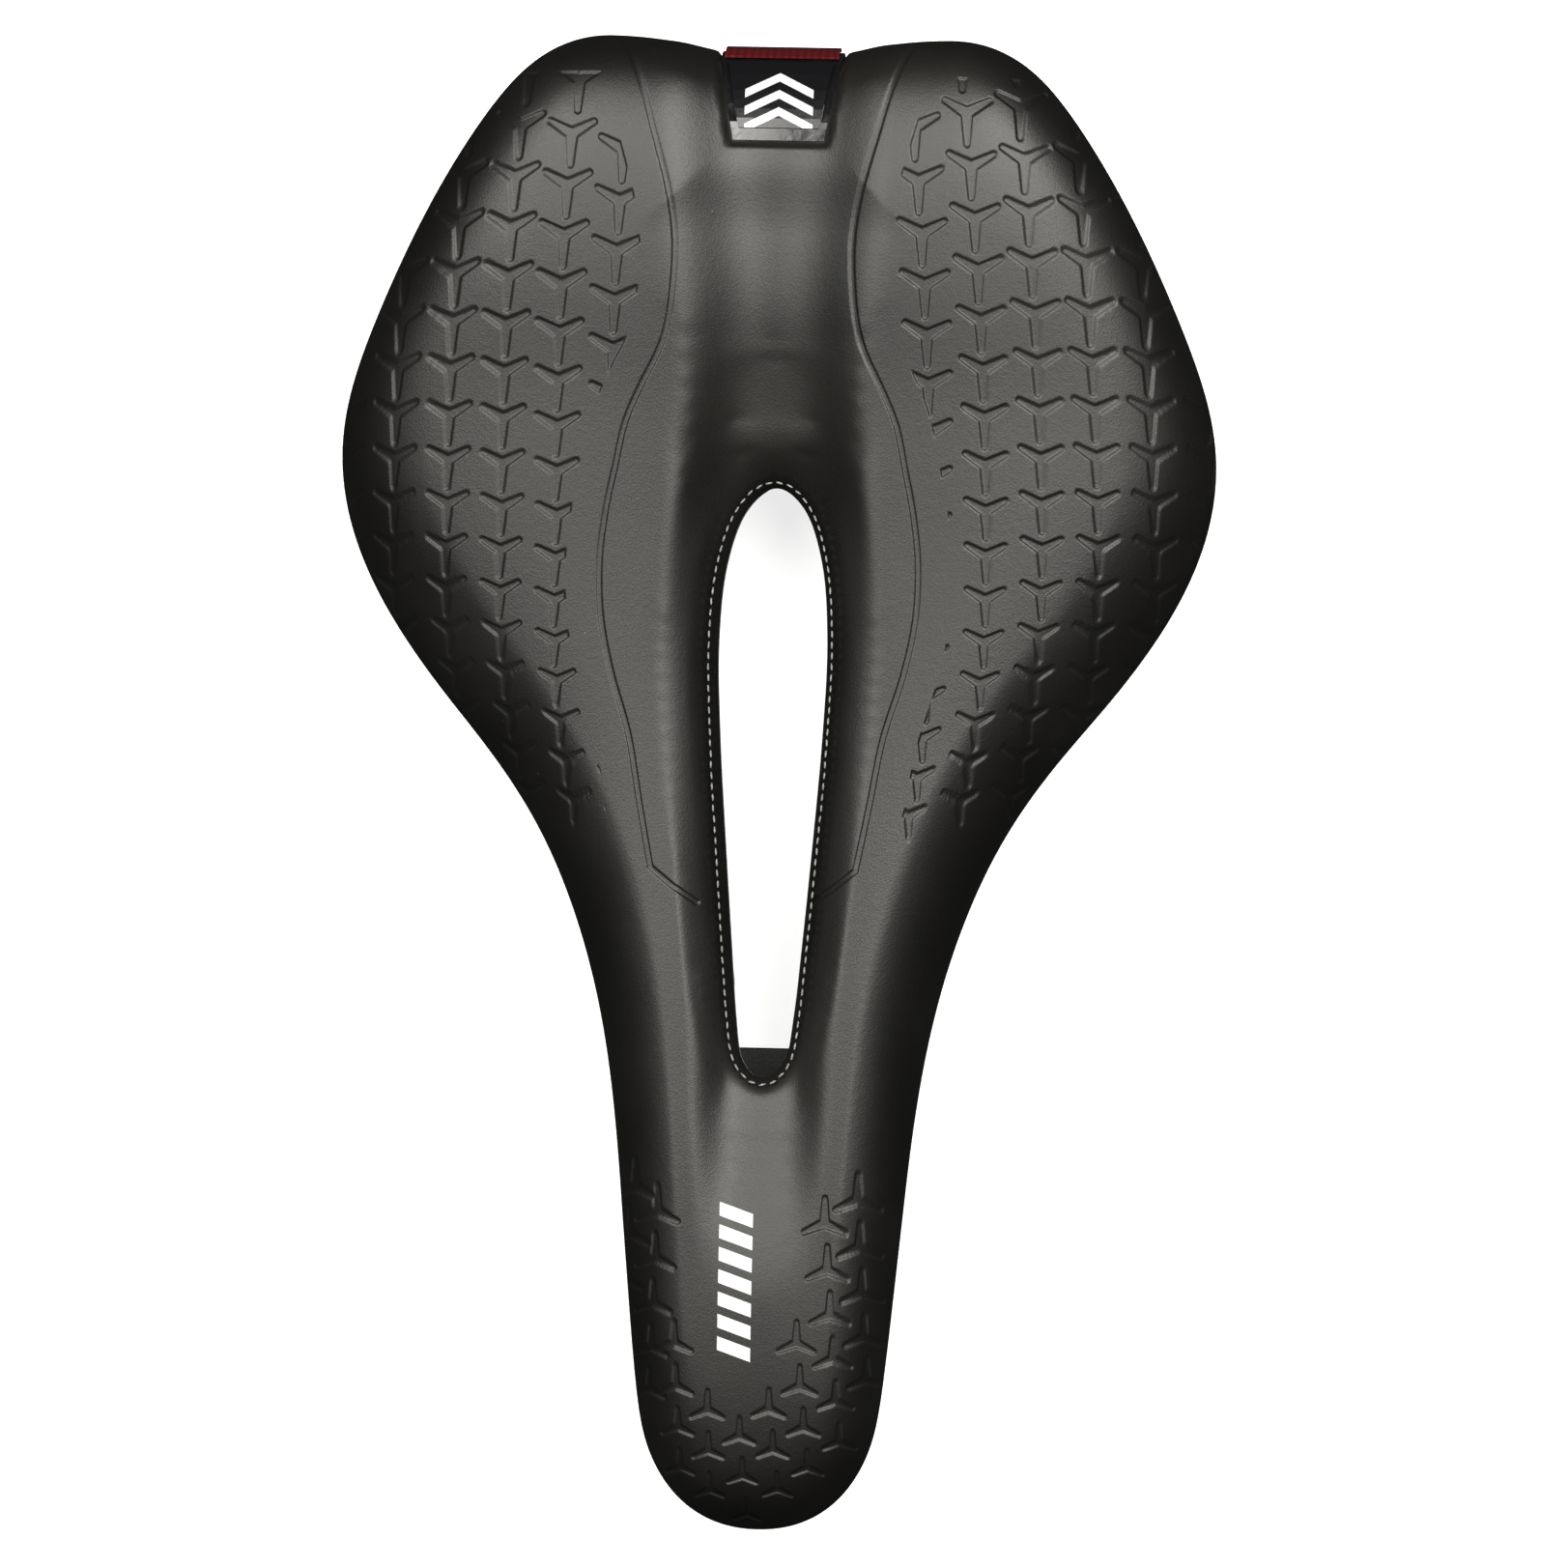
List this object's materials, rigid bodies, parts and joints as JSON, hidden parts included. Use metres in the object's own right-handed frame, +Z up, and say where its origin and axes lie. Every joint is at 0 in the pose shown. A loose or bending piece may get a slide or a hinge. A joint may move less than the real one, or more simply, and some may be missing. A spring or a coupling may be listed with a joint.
{
  "type": "bicycle saddle",
  "caption": "Short-nosed padded bicycle saddle with a stitched relief slot, moulded base and hairpin rail for a seatpost clamp.",
  "frame": {"origin": "the middle of the seatpost clamp zone: midway between the two rail legs, on their centre plane, at the middle of the straight stretch", "axes": "+Z up, +Y towards the tail, +X to the rider's right, so the nose points along -Y"},
  "size_m": [0.1428, 0.241, 0.0543],
  "materials": {
    "leather": "matt black polyurethane leather, fine grain, soft sheen",
    "lining": "black woven nylon lining",
    "thread": "grey bonded polyester sewing thread",
    "foam": "moulded polyurethane foam",
    "nylon": "black glass-filled nylon, fine mould texture",
    "elastomer": "black elastomer",
    "gloss_black": "piano black ABS",
    "print": "printed label under clear resin",
    "red_lens": "dark red reflector lens",
    "rail_steel": "satin chrome-molybdenum steel tube",
    "black_steel": "black oxide steel",
    "zinc": "bright zinc-plated wire"
  },
  "bodies": {
    "root": {"cover": "leather", "slot_lining": "lining", "slot_thread": "thread", "foam_pad": "foam", "shell": "nylon", "rail": "rail_steel", "nose_clip": "nylon", "nose_bumper": "elastomer", "nose_screw_1": "black_steel", "nose_screw_2": "black_steel", "rear_clip_right": "nylon", "rear_bumper_right": "elastomer", "rear_screw_right_1": "black_steel", "rear_screw_right_2": "black_steel", "staple_right_1": "zinc", "staple_right_2": "zinc", "staple_right_3": "zinc", "staple_right_4": "zinc", "staple_right_5": "zinc", "staple_right_6": "zinc", "staple_right_7": "zinc", "rear_clip_left": "nylon", "rear_bumper_left": "elastomer", "rear_screw_left_1": "black_steel", "rear_screw_left_2": "black_steel", "staple_left_1": "zinc", "staple_left_2": "zinc", "staple_left_3": "zinc", "staple_left_4": "zinc", "staple_left_5": "zinc", "staple_left_6": "zinc", "staple_left_7": "zinc", "tail_badge": "gloss_black", "tail_label": "print", "tail_reflector": "red_lens"}
  },
  "joints": []
}
